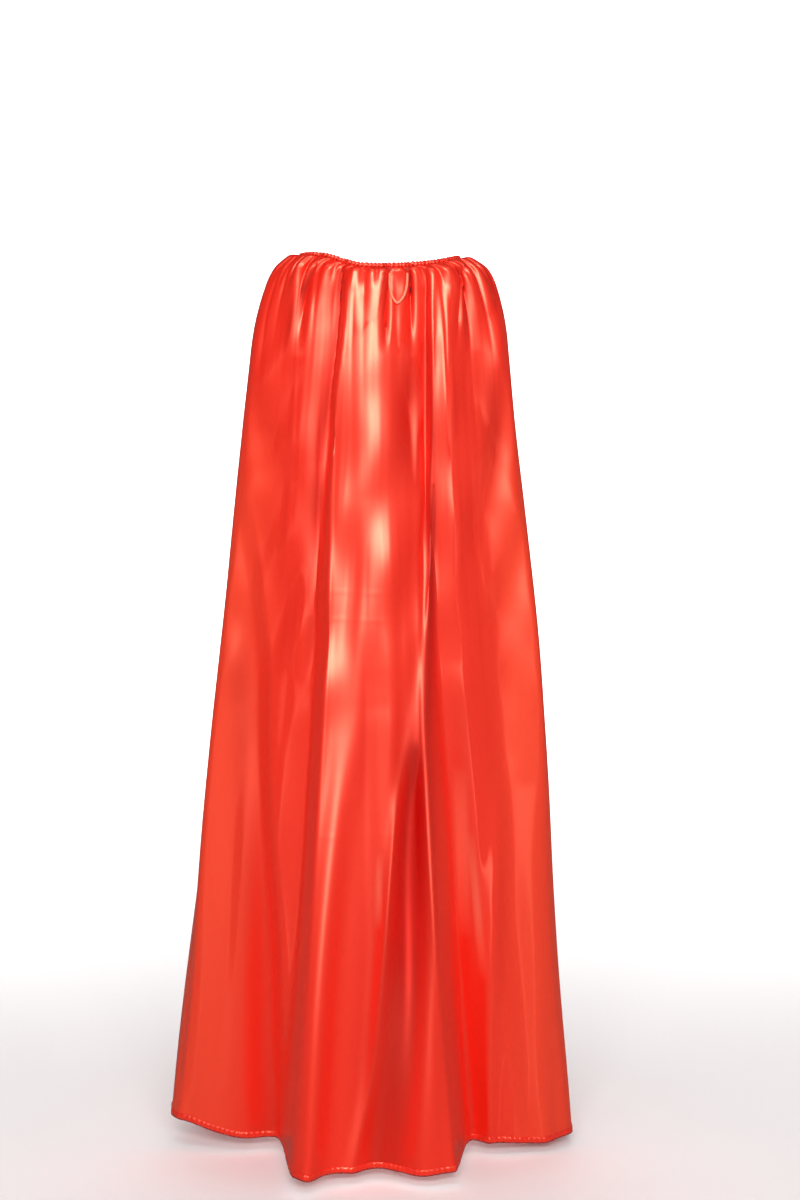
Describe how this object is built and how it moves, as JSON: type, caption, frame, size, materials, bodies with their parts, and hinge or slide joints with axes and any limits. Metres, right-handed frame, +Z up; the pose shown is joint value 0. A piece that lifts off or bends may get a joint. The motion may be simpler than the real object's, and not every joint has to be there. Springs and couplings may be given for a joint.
{
  "type": "superhero cape",
  "caption": "Full-length costume cape of red satin, gathered on a drawstring casing, tied in a bow at the throat, open down the front, with a hang loop at the nape.",
  "frame": {"origin": "centre of the neck opening, level with the foot of the casing at the shoulders", "axes": "+Z up along the neck, -Y the way the wearer faces, +X the wearer's left; the cape hangs down -Z"},
  "size_m": [0.6404, 0.4673, 1.359],
  "materials": {
    "satin": "glossy warp-faced polyester satin",
    "hem_edge": "turned and overlocked satin edge",
    "tie_cord": "braided satin cord",
    "label_tape": "blank woven tape"
  },
  "bodies": {
    "back": {"gathered_head": "satin", "back_panel": "satin", "neck_casing": "satin", "neck_cord": "tie_cord", "back_hem": "hem_edge", "loop_tacks": "hem_edge", "care_label": "label_tape", "bow_knot": "tie_cord", "bow_loop_left": "tie_cord", "bow_loop_right": "tie_cord", "tie_tail_left": "tie_cord", "tie_tail_right": "tie_cord", "tail_knot_left": "tie_cord", "tail_knot_right": "tie_cord"},
    "left_front": {"left_front_panel": "satin", "left_front_hem": "hem_edge", "left_edge_facing": "satin"},
    "right_front": {"right_front_panel": "satin", "right_front_hem": "hem_edge", "right_edge_facing": "satin"},
    "hang_loop": {"hang_loop": "satin"}
  },
  "joints": [
    {"name": "left_front_swing", "type": "hinge", "parent": "back", "child": "left_front", "pos_m": [0.19125, -0.03158, -0.112], "axis": [-0.1055, 0.0308, 0.9939], "range_deg": [-20, 80]},
    {"name": "right_front_swing", "type": "hinge", "parent": "back", "child": "right_front", "pos_m": [-0.19125, -0.03158, -0.112], "axis": [-0.0824, -0.0308, -0.9961], "range_deg": [-20, 80]},
    {"name": "hang_loop_flip", "type": "hinge", "parent": "back", "child": "hang_loop", "pos_m": [-0.028, 0.0845, -0.021], "axis": [1, 0, 0], "range_deg": [0, 165]}
  ]
}
